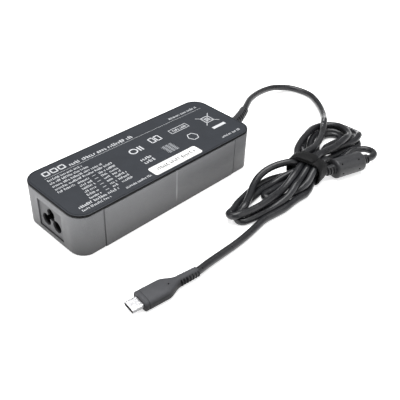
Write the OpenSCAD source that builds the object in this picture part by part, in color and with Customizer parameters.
// Laptop power adapter: a welded two-part housing with a three-pin mains inlet at one end
// and a captive output cord at the other. The cord is folded into a hank held by a
// hook-and-loop strap, passes through a moulded ferrite and ends in a reversible plug.
// Millimetres. Origin at the middle of the housing's underside, +X towards the cord,
// +Z up. The mains inlet faces -X.

/* [Housing] */
// Length of the housing
case_l = 140; // [138:1:146]
// Width of the housing
case_w = 54; // [53:0.5:58]
// Height of the housing
case_h = 28.5; // [28:0.5:32]
// Radius of the housing's upright corners
corner_r = 10; // [6:0.5:14]
// Thickness of the side walls
wall = 2.2; // [1.8:0.1:2.4]
// Thickness of the top cover that shows above the seam
cover_t = 1.5; // [1.2:0.1:2]

/* [Inlet] */
// Width of the inlet's face
inlet_w = 22.4; // [20:0.2:24]
// Height of the inlet's face
inlet_h = 18.6; // [18:0.2:19]
// Distance between the two power pins
pin_pitch = 10; // [9:0.5:10]
// Diameter of the three pins
pin_d = 2.4; // [2:0.1:2.6]

/* [Cord] */
// Diameter of the output cord
cord_d = 4.6; // [4:0.1:4.8]
// Diameter of the ferrite's moulded cover
ferrite_d = 13.2; // [12:0.1:13.4]
// Length of the ferrite's moulded cover
ferrite_l = 22.6; // [21:0.2:24]
// Width of the hook-and-loop strap
strap_w = 9.4; // [6:0.2:9.4]

/* [Plug] */
// Width of the plug's grip
grip_w = 12; // [11:0.2:13]
// Thickness of the plug's grip
grip_t = 7.2; // [6.4:0.2:7.6]
// Length of the metal shell that stands out of the grip
shell_l = 6.6; // [6:0.1:7]

/* [Hidden] */
$fn = 48;
eps = 0.01;

// Housing levels and inner faces
seam_z = case_h - cover_t;
floor_t = 2.2;
half_l = case_l / 2;
half_w = case_w / 2;
inner_x = half_l - wall;
shadow_gap = 0.4;
shadow_depth = 0.5;
lip_gap = 0.15;
lip_t = 1.2;
lip_drop = 2.4;

// The side walls' end sections sit a little inside the middle one, behind a groove
groove_x = 52.5;
groove_w = 0.7;
groove_depth = 0.6;
end_inset = 0.3;
foot_step = 0.5;
foot_step_h = 0.8;

// Mains inlet
inlet_z = 13.2;
inlet_recess = 0.8;
inlet_gap = 0.1;
flange_t = 1.5;
flange_lip = 1.6;
inlet_body_w = 20;
inlet_body_h = 15.6;
inlet_rear_x = -half_l + 19.5;
socket_floor_x = -half_l + 16;
power_pin_z = 10.7;
earth_pin_z = 17;
power_lobe_r = 3.9;
earth_lobe_r = 3.4;
web_w = 8;
web_top_w = 5;
web_z = 12.5;
pin_tip_x = -half_l + 5.6;
pin_tip_taper = 0.7;
tail_d = 1.8;
tail_gap = 0.1;
tail_end_x = inlet_rear_x + 2.5;

// Circuit board
board_x0 = -49;
board_x1 = 64;
board_w = 47;
board_t = 1.6;
board_z = 4.5;
top_z = board_z + board_t;
post_x = [-45, 61];
post_y = 20.5;
post_d = 5;
peg_d = 2.4;
peg_gap = 0.2;

// Places and sizes that several of the board's parts share
sink_t = 1.5;
sink_h = 18;
transistor_t = 4.4;
transistor_w = 10;
transistor_h = 16.5;
screw_d = 3;
screw_hole_d = screw_d + 0.4;
screw_head_d = 5.4;
screw_head_t = 1.6;
screw_z = top_z + 14;
switch_x = [-6, 8];
rectifier_x = 46;
rectifier_y = -12;
transformer_pos = [30, -8];
choke_pos = [-20.2, -13.5];
pad_t = 0.7;

// Output end
exit_z = 15;
exit_d = 8.4;
collar_d = 12;
collar_t = 2;

// Strain relief at the housing: its bent centre line and the radius at each point
relief_path = [
    [half_l - wall, 0, 15], [half_l + 2, 0, 15], [half_l + 5, 0.1, 15], [half_l + 8, 0.3, 15],
    [half_l + 11, 0.8, 15], [half_l + 14, 1.4, 15], [half_l + 17, 2.2, 15],
    [half_l + 20, 3.2, 15], [half_l + 23, 4.4, 15], [half_l + 26, 5.7, 15],
    [half_l + 29, 7.1, 15], [half_l + 32, 8.6, 15]
];
relief_root_r = 4.2;
relief_tip_r = 3.1;

// Cord routes, one point every ring
lead_in_path = [
    [102, 8.6, 15], [110, 13, 14.4], [119, 18, 13.2], [129, 22, 11.6], [139, 25, 9.7],
    [149, 27, 7.8], [159, 27.5, 5.9], [167, 25.5, 4.2], [174, 21, 3], [177.5, 13, 2.4],
    [177.5, 4, 2.4], [174, -4, 2.4], [168.5, -12, 2.6], [162, -19, 3.4], [154, -26, 5],
    [146, -32, 6.6], [138, -37, 7.6], [130, -42, 8.4]
];
plug_lead_path = [
    [72, -68, 2.4], [62, -73, 2.4], [52, -75.5, 2.4], [41, -75.5, 2.3], [30, -74.2, 2.3],
    [20, -74.5, 2.3], [10, -75.8, 2.3], [0, -76.5, 2.3], [-12, -76.8, 2.5], [-23, -77.3, 3],
    [-31.8, -78.1, 3.6]
];
ferrite_pos = [98.3, -73.7, 6.8];
ferrite_turn = -17;
core_l = 18.6;
core_d = 10;
relief_l = 6;
relief_r = 3.6;
entry_path = [[83, -63.6, 8], [86, -66.2, 7.8], [89, -69.4, 7.2], [92.6, -72, 6.8]];
turn_path = [
    [125.6, -82.1, 6.8], [130.2, -82.9, 6.6], [135, -81.6, 6.2], [137.9, -77.8, 5.6],
    [137.6, -73.2, 5], [134.2, -70, 4.6], [129.6, -67.6, 4.4]
];

// Hank: two loops either side of the strap
hank_h = 12;
left_loop = [[25, -61, 8], [50, -58, 12.5], [65, -58, 11.5], [74.6, -62, 4]];
right_loop = [[92.9, -60, 4.2], [103, -56, 10], [128, -44, 12], [143, -43, 12], [142, -56, 11]];
waist_from = -6.5;
waist_to = 5.4;
waist_w = 21;
waist_h = 13.4;
waist_r = 5.5;
strap_pos = [84, -62.2, 8.2];
strap_turn = 11;
strap_t = 1.4;
strap_fit = 0.1;
tab_l = 12;
tab_t = 1.2;
tab_root = 6;
tab_gap = 0.1;

// Plug
plug_tip = [-75, -73, 3.6];
plug_turn = -6.7;
shell_w = 8.34;
shell_h = 2.56;
shell_t = 0.25;
shell_rear = 4;
grip_l = 19.5;
neck_l = 24;
relief_end = 43.5;
plug_relief_w = 6.4;

// ---- Shared shapes ----

// Rectangle with round corners, centred
module round_rect(l, w, r) {
    union() {
        square([l - 2 * r, w], center = true);
        square([l, w - 2 * r], center = true);
        for (sx = [-1, 1], sy = [-1, 1])
            translate([sx * (l / 2 - r), sy * (w / 2 - r)]) circle(r);
    }
}

// Upright block with the housing's plan, drawn in by a margin
module case_block(inset, z0, z1) {
    translate([0, 0, z0])
        linear_extrude(z1 - z0)
            round_rect(case_l - 2 * inset, case_w - 2 * inset, corner_r - inset);
}

// Box standing on z, centred on x and y
module block(pos, size) {
    translate([pos[0] - size[0] / 2, pos[1] - size[1] / 2, pos[2]]) cube(size);
}

// Rod along +X
module rod_x(pos, d, l) {
    translate(pos) rotate([0, 90, 0]) cylinder(h = l, d = d);
}

// Rod along +Y
module rod_y(pos, d, l) {
    translate(pos) rotate([-90, 0, 0]) cylinder(h = l, d = d);
}

// Rounded bar along +X, centred on y and z
module bar_x(l, w, h, r) {
    rotate([90, 0, 90]) linear_extrude(l) round_rect(w, h, r);
}

// Direction of a path at point i
function unit(v) = v / norm(v);
function heading(path, i) =
    unit(path[min(i + 1, len(path) - 1)] - path[max(i - 1, 0)]);
function side(d) = unit(cross([0, 0, 1], d));

// Ring of points square to the path
function ring(c, d, r, n) = [
    for (k = [0 : n - 1])
        let (a = 360 * k / n, s = side(d), u = cross(d, s))
            c + r * (cos(a) * s + sin(a) * u)
];

// Tube swept along a path, with a radius for each point
module sweep(path, radii, n) {
    m = len(path);
    points = [for (i = [0 : m - 1]) each ring(path[i], heading(path, i), radii[i], n)];
    walls = [
        for (i = [0 : m - 2], k = [0 : n - 1])
            [i * n + k, (i + 1) * n + k, (i + 1) * n + (k + 1) % n, i * n + (k + 1) % n]
    ];
    first = [for (k = [0 : n - 1]) k];
    last = [for (k = [n - 1 : -1 : 0]) (m - 1) * n + k];
    polyhedron(points, concat([first], walls, [last]));
}

module cord(path) {
    sweep(path, [for (p = path) cord_d / 2], 10);
}

// ---- Housing ----

module bottom_shell() {
    color("dimgray") {
        difference() {
            union() {
                case_block(foot_step, 0, foot_step_h + eps);
                case_block(0, foot_step_h, seam_z);
            }
            case_block(wall, floor_t, seam_z + eps);
            for (sy = [-1, 1], sx = [-1, 1]) {
                translate([sx * groove_x, sy * half_w, seam_z / 2])
                    cube([groove_w, 2 * groove_depth, seam_z + 1], center = true);
                translate([sx * (groove_x + corner_r), sy * half_w, seam_z / 2])
                    cube([2 * corner_r, 2 * end_inset, seam_z + 1], center = true);
            }
            translate([-half_l, 0, inlet_z])
                cube([3 * wall, inlet_w + 2 * inlet_gap, inlet_h + 2 * inlet_gap], center = true);
            rod_x([inner_x - 1, 0, exit_z], exit_d, wall + 2);
        }
        for (x = post_x, sy = [-1, 1]) {
            translate([x, sy * post_y, floor_t - eps])
                cylinder(h = board_z - floor_t + eps, d = post_d);
            translate([x, sy * post_y, board_z - eps])
                cylinder(h = board_t + 0.6, d = peg_d);
        }
    }
}

module top_cover() {
    lip_out = wall + lip_gap;
    color("darkslategray") {
        case_block(shadow_depth, seam_z, seam_z + shadow_gap + eps);
        case_block(0, seam_z + shadow_gap, case_h);
        difference() {
            case_block(lip_out, seam_z - lip_drop, seam_z + eps);
            case_block(lip_out + lip_t, seam_z - lip_drop - eps, seam_z + 2 * eps);
        }
    }
}

// Paper label stuck on the cover
module serial_sticker() {
    color("white")
        translate([7, -20.1, case_h])
            linear_extrude(0.12) round_rect(38, 8.4, 1.6);
}

// ---- Mains inlet ----

// Three-lobed hollow that the mains connector goes into
module socket_shape(depth) {
    rotate([90, 0, 90])
        linear_extrude(depth)
            union() {
                for (s = [-1, 1]) translate([s * pin_pitch / 2, power_pin_z]) circle(power_lobe_r);
                translate([0, earth_pin_z]) circle(earth_lobe_r);
                polygon([
                    [-web_w / 2, web_z], [web_w / 2, web_z],
                    [web_top_w / 2, earth_pin_z], [-web_top_w / 2, earth_pin_z]
                ]);
            }
}

module inlet_body() {
    face_x = -half_l + inlet_recess;
    flange_x = -half_l + wall;
    color("darkgray")
        difference() {
            union() {
                translate([face_x, -inlet_w / 2, inlet_z - inlet_h / 2])
                    cube([flange_x - face_x + eps, inlet_w, inlet_h]);
                translate([flange_x, -inlet_w / 2 - flange_lip, inlet_z - inlet_h / 2 - 1])
                    cube([flange_t, inlet_w + 2 * flange_lip, inlet_h + 2]);
                translate([flange_x, -inlet_body_w / 2, inlet_z - inlet_body_h / 2 + 0.7])
                    cube([inlet_rear_x - flange_x, inlet_body_w, inlet_body_h]);
            }
            translate([face_x - 1, 0, 0]) socket_shape(socket_floor_x - face_x + 1);
            for (s = [-1, 1])
                rod_x([socket_floor_x - 1, s * pin_pitch / 2, power_pin_z], tail_d + tail_gap, 8);
            rod_x([socket_floor_x - 1, 0, earth_pin_z], tail_d + tail_gap, 8);
        }
}

// Round pin with a tapered tip, and the thinner tail behind it
module inlet_pin(y, z) {
    straight = socket_floor_x - pin_tip_x - pin_tip_taper;
    translate([pin_tip_x, y, z]) rotate([0, 90, 0])
        cylinder(h = pin_tip_taper, d1 = pin_d - 2 * pin_tip_taper, d2 = pin_d);
    rod_x([pin_tip_x + pin_tip_taper, y, z], pin_d, straight);
    rod_x([socket_floor_x - eps, y, z], tail_d, tail_end_x - socket_floor_x + eps);
}

module inlet_power_pins() {
    color("silver") for (s = [-1, 1]) inlet_pin(s * pin_pitch / 2, power_pin_z);
}

module inlet_earth_pin() {
    color("silver") inlet_pin(0, earth_pin_z);
}

// Wire from a pin's tail that bends down to the board
module inlet_wire(y, z, bend) {
    wire_d = 1.6;
    rod_x([tail_end_x, y, z], wire_d, 1 + eps);
    translate([tail_end_x + 1, y, z - bend]) rotate([90, 0, 0])
        rotate_extrude(angle = 90) translate([bend, 0]) circle(d = wire_d);
    translate([tail_end_x + 1 + bend, y, top_z])
        cylinder(h = z - bend - top_z + eps, d = wire_d);
}

module inlet_wires() {
    color("saddlebrown") {
        for (s = [-1, 1]) inlet_wire(s * pin_pitch / 2, power_pin_z, 2.5);
        inlet_wire(0, earth_pin_z, 3.5);
    }
}

// ---- Board and its parts ----

module main_board() {
    color("darkgreen")
        difference() {
            translate([board_x0, -board_w / 2, board_z])
                cube([board_x1 - board_x0, board_w, board_t]);
            for (x = post_x, sy = [-1, 1])
                translate([x, sy * post_y, board_z - 1])
                    cylinder(h = board_t + 2, d = peg_d + peg_gap);
        }
}

module insulation_sheet() {
    color("ivory") block([8, 0, floor_t], [96, 34, 0.3]);
}

module fuse() {
    color("black") block([-38, 20, top_z], [8.4, 4.2, 8]);
}

// Coated disc on two legs, its flat sides facing +X and -X
module disc_part(x, y, d, t) {
    leg = 2;
    rod_x([x - t / 2, y, top_z + leg + d / 2], d, t);
    for (s = [-1, 1])
        translate([x, y + s * d / 4, top_z]) cylinder(h = leg + d / 2, d = 0.8);
}

module varistor() {
    color("royalblue") disc_part(-38.5, -16.5, 10, 4);
}

module inrush_limiter() {
    color("darkolivegreen") disc_part(-32.5, -16.5, 9, 3.6);
}

module x_capacitor() {
    color("goldenrod") block([-35.5, 5.5, top_z], [14, 8.5, 15]);
}

module y_capacitors() {
    color("steelblue") for (x = [15, 20]) disc_part(x, 15, 7, 2.8);
}

module choke_core() {
    color("darkslategray")
        translate([choke_pos[0], choke_pos[1], top_z + 1.4]) rotate_extrude() translate([4.6, 0]) square([3.6, 8]);
}

// Four turns of enamelled wire round each side of the ring core
module choke_windings() {
    wire_r = 0.65;
    color("chocolate")
        translate([choke_pos[0], choke_pos[1], 0])
            for (a = [-36, -12, 12, 36, 144, 168, 192, 216])
                rotate([0, 0, a])
                    difference() {
                        translate([3.2, -wire_r, top_z + 0.1]) cube([6.4, 2 * wire_r, 10.6]);
                        translate([4.5, -1, top_z + 1.3]) cube([3.8, 2, 8.2]);
                    }
}

module bridge_rectifier() {
    color("black") block([-28, 17, top_z], [4, 13, 16]);
}

module bulk_capacitor() {
    can_d = 18;
    color("midnightblue") rod_x([-24, 13.5, top_z + can_d / 2], can_d, 34);
}

module boost_inductor_core() {
    color("dimgray")
        difference() {
            block([0, -15, top_z], [20, 16, 17]);
            block([0, -15, top_z + 2.5], [14, 17, 12]);
        }
}

module boost_inductor_coil() {
    color("orange") block([0, -15, top_z + 2.6], [13.8, 15.8, 11.8]);
}

module primary_heatsink() {
    color("silver")
        difference() {
            block([1, 0, top_z], [28, sink_t, sink_h]);
            for (x = switch_x) rod_y([x, -2, screw_z], screw_hole_d, 4);
        }
}

module power_transistors() {
    color("black")
        for (x = switch_x)
            difference() {
                block([x, -sink_t / 2 - transistor_t / 2, top_z],
                    [transistor_w, transistor_t, transistor_h]);
                rod_y([x, -8, screw_z], screw_hole_d, 12);
            }
}

// Screw along +X with its head at the far end
module sink_screw() {
    shank = transistor_t + sink_t + screw_head_t;
    rod_x([0, 0, 0], screw_d, shank + eps);
    rod_x([shank, 0, 0], screw_head_d, screw_head_t);
}

module heatsink_screws() {
    color("gray") {
        for (x = switch_x)
            translate([x, sink_t / 2 + screw_head_t, screw_z]) rotate([0, 0, -90]) sink_screw();
        translate([rectifier_x - sink_t - screw_head_t, rectifier_y, screw_z]) sink_screw();
    }
}

module transformer_core() {
    color("dimgray")
        difference() {
            block([transformer_pos[0], transformer_pos[1], top_z], [24, 26, sink_h]);
            block([transformer_pos[0], transformer_pos[1], top_z + 3], [27, 19, 12]);
        }
}

module transformer_coil() {
    color("gold")
        block([transformer_pos[0], transformer_pos[1], top_z + 3.1], [25.6, 18.8, 11.8]);
}

module secondary_heatsink() {
    color("silver")
        difference() {
            block([rectifier_x - sink_t / 2, -6, top_z], [sink_t, 28, sink_h]);
            rod_x([rectifier_x - 4, rectifier_y, screw_z], screw_hole_d, 8);
        }
}

module rectifier_transistor() {
    color("black")
        difference() {
            block([rectifier_x + transistor_t / 2, rectifier_y, top_z],
                [transistor_t, transistor_w, transistor_h]);
            rod_x([rectifier_x - 1, rectifier_y, screw_z], screw_hole_d, 8);
        }
}

module output_capacitors() {
    color("silver")
        for (y = [-1.5, 8, 17.5]) translate([54, y, top_z]) cylinder(h = 13, d = 8);
}

module control_board() {
    color("seagreen") block([33, 20, top_z], [24, 1.2, 14]);
}

module control_chips() {
    color("black") {
        block([28, 18.9, top_z + 3], [5, 1, 5]);
        block([38, 18.8, top_z + 4], [6, 1.2, 6]);
    }
}

module thermal_pads() {
    pad_z = top_z + sink_h;
    color("lightpink") {
        block([1, 0, pad_z], [24, sink_t, pad_t]);
        block([transformer_pos[0], transformer_pos[1], pad_z], [18, 18, pad_t]);
        block([rectifier_x - sink_t / 2, -6, pad_z], [sink_t, 24, pad_t]);
    }
}

module heat_spreader() {
    color("lightgray") block([6, 0, top_z + sink_h + pad_t], [96, 40, 0.5]);
}

// Two wires from the board to the back of the strain relief's collar
module output_wires() {
    wire_d = 2;
    bend = 3;
    end_x = inner_x - collar_t;
    color("crimson")
        for (s = [-1, 1])
            translate([0, s * 1.6, 0]) {
                translate([60, 0, top_z]) cylinder(h = exit_z - bend - top_z + eps, d = wire_d);
                translate([60 + bend, 0, exit_z - bend]) rotate([90, 0, 0]) rotate([0, 0, 90])
                    rotate_extrude(angle = 90) translate([bend, 0]) circle(d = wire_d);
                rod_x([60 + bend - eps, 0, exit_z], wire_d, end_x - 60 - bend + eps);
            }
}

// ---- Strain relief and cord ----

module case_strain_relief() {
    count = len(relief_path);
    color("black") {
        rod_x([inner_x - collar_t, 0, exit_z], collar_d, collar_t);
        rod_x([inner_x - eps, 0, exit_z], exit_d - 0.1, wall);
        sweep(
            relief_path,
            [
                for (i = [0 : count - 1])
                    relief_root_r + (relief_tip_r - relief_root_r) * i / (count - 1)
            ],
            20
        );
    }
}

module cord_lead_in() {
    color("black") cord(lead_in_path);
}

// Puts a shape made along +X on the strap's axis, from a distance along it
module at_strap(x) {
    translate(strap_pos) rotate([0, 0, strap_turn]) translate([x, 0, 0]) children();
}

module loop_outline(circles) {
    hull() for (c = circles) translate([c[0], c[1]]) circle(c[2], $fn = 32);
}

module cord_hank() {
    color("black") {
        linear_extrude(hank_h) loop_outline(left_loop);
        linear_extrude(hank_h) loop_outline(right_loop);
        at_strap(waist_from) bar_x(waist_to - waist_from, waist_w, waist_h, waist_r);
    }
}

module cord_ferrite_entry() {
    color("black") cord(entry_path);
}

module cord_ferrite_turn() {
    color("black") cord(turn_path);
}

module cord_plug_lead() {
    color("black") cord(plug_lead_path);
}

// Puts a shape made along +X on the ferrite's axis
module at_ferrite() {
    translate(ferrite_pos) rotate([0, 0, ferrite_turn]) children();
}

module cord_in_ferrite() {
    color("black") at_ferrite() rod_x([-relief_l, 0, 0], cord_d, ferrite_l + 2 * relief_l);
}

module ferrite_cover() {
    inset = (ferrite_l - core_l) / 2;
    color("black")
        at_ferrite()
            difference() {
                union() {
                    rod_x([0, 0, 0], ferrite_d, ferrite_l);
                    rod_x([-relief_l, 0, 0], 2 * relief_r, ferrite_l + 2 * relief_l);
                }
                rod_x([-relief_l - 1, 0, 0], cord_d + 0.1, ferrite_l + 2 * relief_l + 2);
                rod_x([inset - 0.05, 0, 0], core_d + 0.1, core_l + 0.1);
            }
}

module ferrite_core() {
    inset = (ferrite_l - core_l) / 2;
    color("gray")
        at_ferrite()
            difference() {
                rod_x([inset, 0, 0], core_d, core_l);
                rod_x([inset - 1, 0, 0], cord_d + 0.3, core_l + 2);
            }
}

module cord_strap() {
    color("black")
        at_strap(-strap_w / 2)
            difference() {
                bar_x(strap_w, waist_w + 2 * (strap_fit + strap_t),
                    waist_h + 2 * (strap_fit + strap_t), waist_r + strap_fit + strap_t);
                translate([-1, 0, 0])
                    bar_x(strap_w + 2, waist_w + 2 * strap_fit,
                        waist_h + 2 * strap_fit, waist_r + strap_fit);
            }
}

// The strap's free end, which peels up about its rounded root
module strap_tab() {
    root_z = waist_h / 2 + strap_fit + strap_t + tab_gap + tab_t / 2;
    color("black")
        at_strap(-strap_w / 2) {
            rod_x([0, tab_root, root_z], tab_t, strap_w);
            translate([0, tab_root - tab_l, root_z - tab_t / 2]) cube([strap_w, tab_l, tab_t]);
        }
}

// ---- Plug ----

// Puts a shape made along +X, from the tip of the metal shell, where the plug lies
module at_plug() {
    translate(plug_tip) rotate([0, 0, plug_turn]) children();
}

module plug_slab(x, l, w, h, r) {
    translate([x, 0, 0]) bar_x(l, w, h, r);
}

module plug_grip() {
    color("black")
        at_plug()
            difference() {
                union() {
                    plug_slab(shell_l, grip_l, grip_w, grip_t, 2.6);
                    hull() {
                        plug_slab(shell_l + grip_l - eps, eps, grip_w, grip_t, 2.6, $fn = 32);
                        plug_slab(shell_l + neck_l, eps, plug_relief_w, plug_relief_w, 3, $fn = 32);
                    }
                    rod_x([shell_l + neck_l, 0, 0], plug_relief_w,
                        relief_end - shell_l - neck_l);
                }
                plug_slab(shell_l - 1, shell_rear + 1, shell_w + 0.1, shell_h + 0.1, 1.2);
                plug_slab(shell_l + shell_rear - eps, 9, 9.4, 3.2, 0.5);
            }
}

module plug_shell() {
    color("silver")
        at_plug()
            difference() {
                plug_slab(0, shell_l + shell_rear, shell_w, shell_h, 1.15);
                plug_slab(-1, shell_l + shell_rear + 2, shell_w - 2 * shell_t,
                    shell_h - 2 * shell_t, 0.9);
            }
}

module plug_insulator() {
    color("dimgray")
        at_plug()
            plug_slab(4.6, shell_l + shell_rear - 4.6, shell_w - 2 * shell_t - 0.1,
                shell_h - 2 * shell_t - 0.1, 0.85);
}

// Upper and lower rows of contact springs in front of the insulator
module plug_contacts() {
    color("gold")
        at_plug()
            for (s = [-1, 1], k = [-5.5 : 1 : 5.5])
                translate([1, k * 0.5 - 0.11, s * 0.83 - 0.06]) cube([3.6, 0.22, 0.12]);
}

module plug_board() {
    color("green")
        at_plug() translate([shell_l + shell_rear, -4.5, -0.4]) cube([8.5, 9, 0.8]);
}

bottom_shell();
top_cover();
serial_sticker();
inlet_body();
inlet_power_pins();
inlet_earth_pin();
inlet_wires();
main_board();
insulation_sheet();
fuse();
varistor();
inrush_limiter();
x_capacitor();
y_capacitors();
choke_core();
choke_windings();
bridge_rectifier();
bulk_capacitor();
boost_inductor_core();
boost_inductor_coil();
primary_heatsink();
power_transistors();
heatsink_screws();
transformer_core();
transformer_coil();
secondary_heatsink();
rectifier_transistor();
output_capacitors();
control_board();
control_chips();
thermal_pads();
heat_spreader();
output_wires();
case_strain_relief();
cord_lead_in();
cord_hank();
cord_ferrite_entry();
cord_in_ferrite();
cord_ferrite_turn();
cord_plug_lead();
ferrite_cover();
ferrite_core();
cord_strap();
strap_tab();
plug_grip();
plug_shell();
plug_insulator();
plug_contacts();
plug_board();
